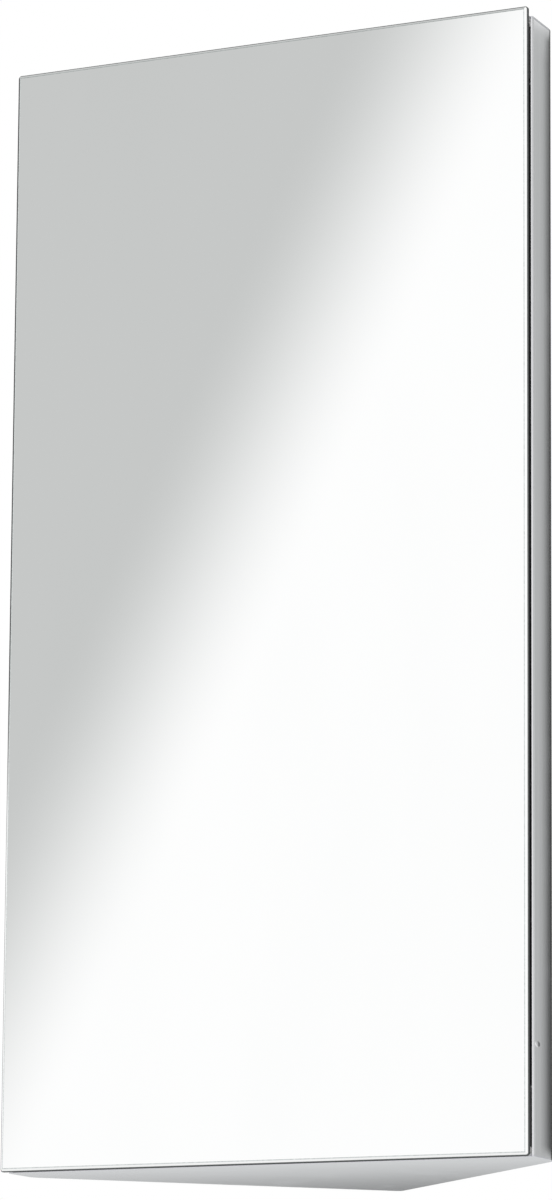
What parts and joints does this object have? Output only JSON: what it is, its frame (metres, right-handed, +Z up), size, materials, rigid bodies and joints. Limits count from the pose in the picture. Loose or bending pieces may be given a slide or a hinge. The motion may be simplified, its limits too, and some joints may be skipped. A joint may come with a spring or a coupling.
{
  "type": "corner mirror cabinet",
  "caption": "Tall corner wall cabinet in satin stainless steel with a frameless bevelled mirror door on pivot hinges, a five-sided body and folded inner shelves.",
  "frame": {"origin": "centre of the bounding box in plan, at the underside of the body", "axes": "+Z up, +X to the right of someone facing the mirror, +Y towards the room's corner; the mirror faces -Y"},
  "size_m": [0.3, 0.1852, 0.6],
  "materials": {
    "satin_steel": "satin",
    "hinge_steel": "satin",
    "pin_steel": "polished",
    "nylon": "smooth",
    "magnet": "sintered",
    "bumper_rubber": "soft",
    "foam_tape": "foam",
    "mirror": "polished"
  },
  "bodies": {
    "cabinet": {"wall_shell": "satin_steel", "top_panel": "satin_steel", "bottom_panel": "satin_steel", "upper_shelf": "satin_steel", "lower_shelf": "satin_steel", "top_hinge_bracket": "hinge_steel", "bottom_hinge_bracket": "hinge_steel", "top_hinge_pin": "pin_steel", "bottom_hinge_pin": "pin_steel", "top_pivot_bush": "nylon", "bottom_pivot_bush": "nylon", "hinge_bracket_rivets": "pin_steel", "catch_case": "nylon", "catch_magnet": "magnet", "catch_poles": "hinge_steel", "catch_screws": "pin_steel", "door_bumpers": "bumper_rubber"},
    "door": {"mirror_glass": "mirror", "mirror_tape": "foam_tape", "door_pan": "satin_steel", "top_hinge_strap": "hinge_steel", "bottom_hinge_strap": "hinge_steel", "hinge_strap_rivets": "pin_steel", "catch_strike": "hinge_steel"}
  },
  "joints": [
    {"name": "door_hinge", "type": "hinge", "parent": "cabinet", "child": "door", "pos_m": [0.147, -0.08738, 0.2985], "axis": [0, 0, 1], "range_deg": [0, 100]}
  ]
}
